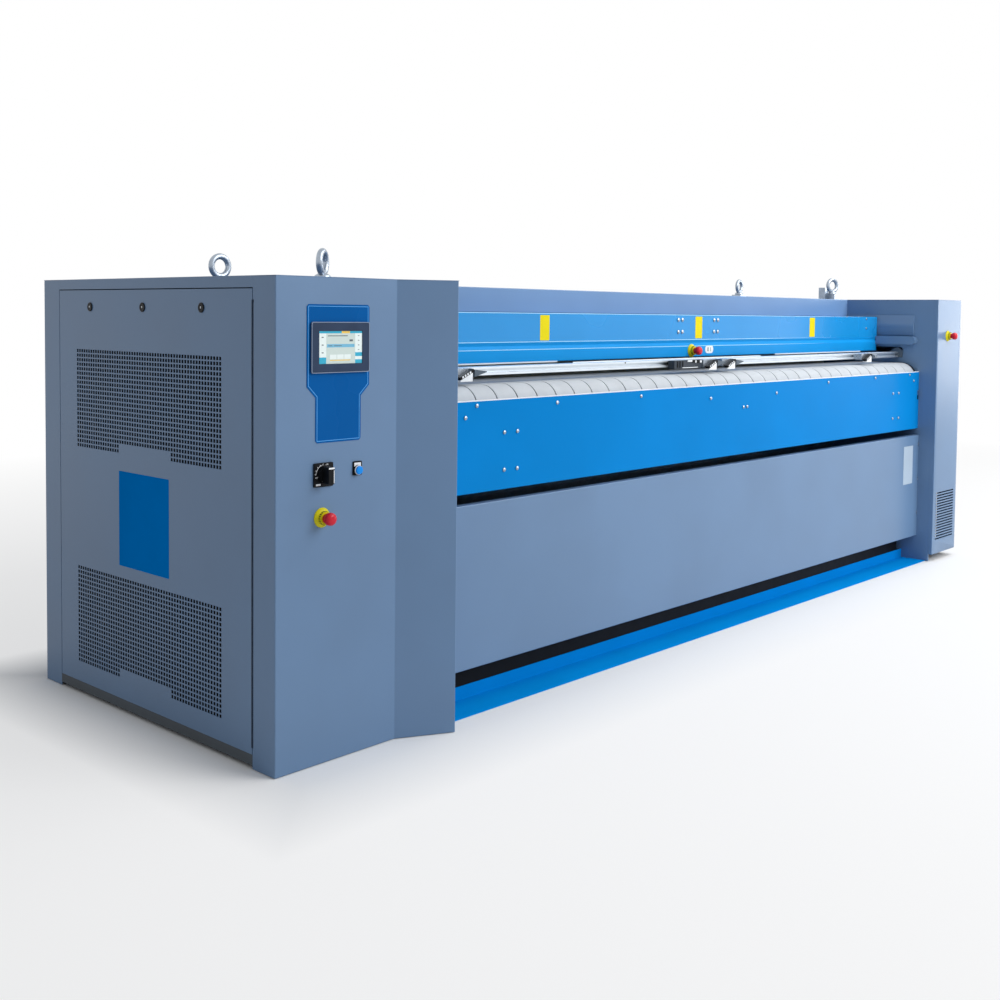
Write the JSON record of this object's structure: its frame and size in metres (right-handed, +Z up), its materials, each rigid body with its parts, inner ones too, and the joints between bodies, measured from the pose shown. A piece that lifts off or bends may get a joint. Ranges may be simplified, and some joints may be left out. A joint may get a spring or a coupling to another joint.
{
  "type": "industrial chest ironer",
  "caption": "Wide industrial chest ironer with a padded roll in a heated chest, feed belts, a clamp rail and two end cabinets with operator controls.",
  "frame": {"origin": "on the floor, under the middle of the machine's outer box", "axes": "+X along the roll, towards the right end as the operator sees it; +Y from the feed side to the rear; +Z up"},
  "size_m": [4.3976, 1.4398, 1.4703],
  "materials": {
    "grey_paint": "blue-grey semi-gloss powder coat",
    "blue_paint": "bright blue semi-gloss powder coat",
    "structural_steel": "dark primer on structural steel",
    "cast_iron": "painted castings",
    "bare_steel": "machined and polished",
    "galvanised_steel": "galvanised sheet",
    "aluminium": "natural anodised",
    "zinc": "bright zinc plating",
    "roll_cloth": "needled felt over springy padding",
    "belt_cloth": "white woven belt",
    "overlay_film": "printed blue film",
    "slate_plastic": "slate moulded frame",
    "screen_glass": "lit touch screen",
    "black_plastic": "black moulding",
    "yellow_plastic": "yellow moulding",
    "red_plastic": "red moulding",
    "blue_plastic": "blue moulding"
  },
  "bodies": {
    "cabinet": {"left_side_frame": "grey_paint", "right_side_frame": "grey_paint", "left_outer_runner": "structural_steel", "right_outer_runner": "structural_steel", "left_front_cover": "grey_paint", "left_rear_cover": "grey_paint", "left_top_cover": "grey_paint", "right_front_cover": "grey_paint", "right_side_cover": "grey_paint", "right_top_cover": "grey_paint", "hood_cover": "grey_paint", "front_beam": "blue_paint", "feed_guard_panel": "blue_paint", "lower_front_panel": "grey_paint", "kick_plate": "blue_paint", "rear_panels": "grey_paint", "chest_cross_beam": "structural_steel", "heated_chest": "bare_steel", "roll_gearbox": "cast_iron", "roll_motor": "cast_iron", "feed_motor": "cast_iron", "fan_housing": "galvanised_steel", "exhaust_collar": "galvanised_steel", "electrical_box": "galvanised_steel", "feed_belts": "belt_cloth", "hmi_overlay": "overlay_film", "hmi_panel": "slate_plastic", "hmi_screen": "screen_glass", "main_switch_plate": "black_plastic", "reset_plate": "black_plastic", "estop_base_left": "yellow_plastic", "estop_base_centre": "yellow_plastic", "estop_base_right": "yellow_plastic", "lifting_eye_1": "zinc", "lifting_eye_2": "zinc", "lifting_eye_3": "zinc", "lifting_eye_4": "zinc"},
    "roll": {"roll_shell": "bare_steel", "roll_padding": "roll_cloth"},
    "nose_roller": {"nose_feed_roller": "aluminium"},
    "tail_roller": {"tail_feed_roller": "aluminium"},
    "fan": {"fan_impeller": "galvanised_steel"},
    "rail": {"clamp_rail": "aluminium"},
    "carriage_1": {"clamp_carriage_1": "zinc"},
    "carriage_2": {"clamp_carriage_2": "zinc"},
    "carriage_3": {"clamp_carriage_3": "zinc"},
    "carriage_4": {"clamp_carriage_4": "zinc"},
    "jaw_1": {"clamp_jaw_1": "black_plastic"},
    "jaw_2": {"clamp_jaw_2": "black_plastic"},
    "jaw_3": {"clamp_jaw_3": "black_plastic"},
    "jaw_4": {"clamp_jaw_4": "black_plastic"},
    "main_switch": {"main_switch_handle": "black_plastic"},
    "reset": {"reset_button": "blue_plastic"},
    "stop_left": {"estop_button_left": "red_plastic"},
    "stop_centre": {"estop_button_centre": "red_plastic"},
    "stop_right": {"estop_button_right": "red_plastic"},
    "side_panel": {"left_side_panel": "grey_paint"},
    "lock_1": {"left_panel_lock_1": "black_plastic"},
    "lock_2": {"left_panel_lock_2": "black_plastic"},
    "lock_3": {"left_panel_lock_3": "black_plastic"}
  },
  "joints": [
    {"name": "roll_turn", "type": "hinge", "parent": "cabinet", "child": "roll", "pos_m": [0, 0.1854, 0.8], "axis": [1, 0, 0], "continuous": true},
    {"name": "nose_roller_turn", "type": "hinge", "parent": "cabinet", "child": "nose_roller", "pos_m": [0, -0.4866, 0.9452], "axis": [1, 0, 0], "continuous": true},
    {"name": "tail_roller_turn", "type": "hinge", "parent": "cabinet", "child": "tail_roller", "pos_m": [0, -0.2446, 0.9737], "axis": [1, 0, 0], "continuous": true},
    {"name": "fan_turn", "type": "hinge", "parent": "cabinet", "child": "fan", "pos_m": [-2.06025, 0.3154, 0.42], "axis": [1, 0, 0], "continuous": true},
    {"name": "clamp_rail_slide", "type": "slide", "parent": "cabinet", "child": "rail", "axis": [0, 1, 0], "range_m": [0, 0.12]},
    {"name": "carriage_1_slide", "type": "slide", "parent": "rail", "child": "carriage_1", "axis": [1, 0, 0], "range_m": [0, 0.5]},
    {"name": "carriage_2_slide", "type": "slide", "parent": "rail", "child": "carriage_2", "axis": [1, 0, 0], "range_m": [-0.5, 0]},
    {"name": "carriage_3_slide", "type": "slide", "parent": "rail", "child": "carriage_3", "axis": [1, 0, 0], "range_m": [0, 0.5]},
    {"name": "carriage_4_slide", "type": "slide", "parent": "rail", "child": "carriage_4", "axis": [1, 0, 0], "range_m": [-0.5, 0]},
    {"name": "jaw_1_open", "type": "hinge", "parent": "carriage_1", "child": "jaw_1", "pos_m": [-1.34725, -0.5192, 1.06977], "axis": [0, 1, 0], "range_deg": [0, 25], "stiffness_Nm_per_rad": 0.2, "springref_deg": -17.19},
    {"name": "jaw_2_open", "type": "hinge", "parent": "carriage_2", "child": "jaw_2", "pos_m": [0.08475, -0.5192, 1.06977], "axis": [0, 1, 0], "range_deg": [0, 25], "stiffness_Nm_per_rad": 0.2, "springref_deg": -17.19},
    {"name": "jaw_3_open", "type": "hinge", "parent": "carriage_3", "child": "jaw_3", "pos_m": [0.22475, -0.5192, 1.06977], "axis": [0, 1, 0], "range_deg": [0, 25], "stiffness_Nm_per_rad": 0.2, "springref_deg": -17.19},
    {"name": "jaw_4_open", "type": "hinge", "parent": "carriage_4", "child": "jaw_4", "pos_m": [1.48275, -0.5192, 1.06977], "axis": [0, 1, 0], "range_deg": [0, 25], "stiffness_Nm_per_rad": 0.2, "springref_deg": -17.19},
    {"name": "main_switch_turn", "type": "hinge", "parent": "cabinet", "child": "main_switch", "pos_m": [-2.03575, -0.6202, 0.8075], "axis": [0, 1, 0], "range_deg": [-90, 0]},
    {"name": "reset_push", "type": "slide", "parent": "cabinet", "child": "reset", "axis": [0, 1, 0], "range_m": [0, 0.003], "stiffness_N_per_m": 500, "springref_m": -0.002},
    {"name": "stop_left_push", "type": "slide", "parent": "cabinet", "child": "stop_left", "axis": [0, 1, 0], "range_m": [0, 0.005]},
    {"name": "stop_centre_push", "type": "slide", "parent": "cabinet", "child": "stop_centre", "axis": [0, 1, 0], "range_m": [0, 0.005]},
    {"name": "stop_right_push", "type": "slide", "parent": "cabinet", "child": "stop_right", "axis": [0, 1, 0], "range_m": [0, 0.005]},
    {"name": "side_panel_tilt", "type": "hinge", "parent": "cabinet", "child": "side_panel", "pos_m": [-2.19525, 0, 0.0418], "axis": [0, -1, 0], "range_deg": [0, 30]},
    {"name": "lock_1_turn", "type": "hinge", "parent": "side_panel", "child": "lock_1", "pos_m": [-2.19525, -0.2706, 1.262], "axis": [1, 0, 0], "range_deg": [0, 90]},
    {"name": "lock_2_turn", "type": "hinge", "parent": "side_panel", "child": "lock_2", "pos_m": [-2.19525, 0.0414, 1.262], "axis": [1, 0, 0], "range_deg": [0, 90]},
    {"name": "lock_3_turn", "type": "hinge", "parent": "side_panel", "child": "lock_3", "pos_m": [-2.19525, 0.3534, 1.262], "axis": [1, 0, 0], "range_deg": [0, 90]}
  ],
  "couplings": [
    {"joint": "tail_roller_turn", "follows": "nose_roller_turn", "ratio": 1.6333},
    {"joint": "carriage_2_slide", "follows": "carriage_1_slide", "ratio": -1},
    {"joint": "carriage_4_slide", "follows": "carriage_3_slide", "ratio": -1}
  ]
}
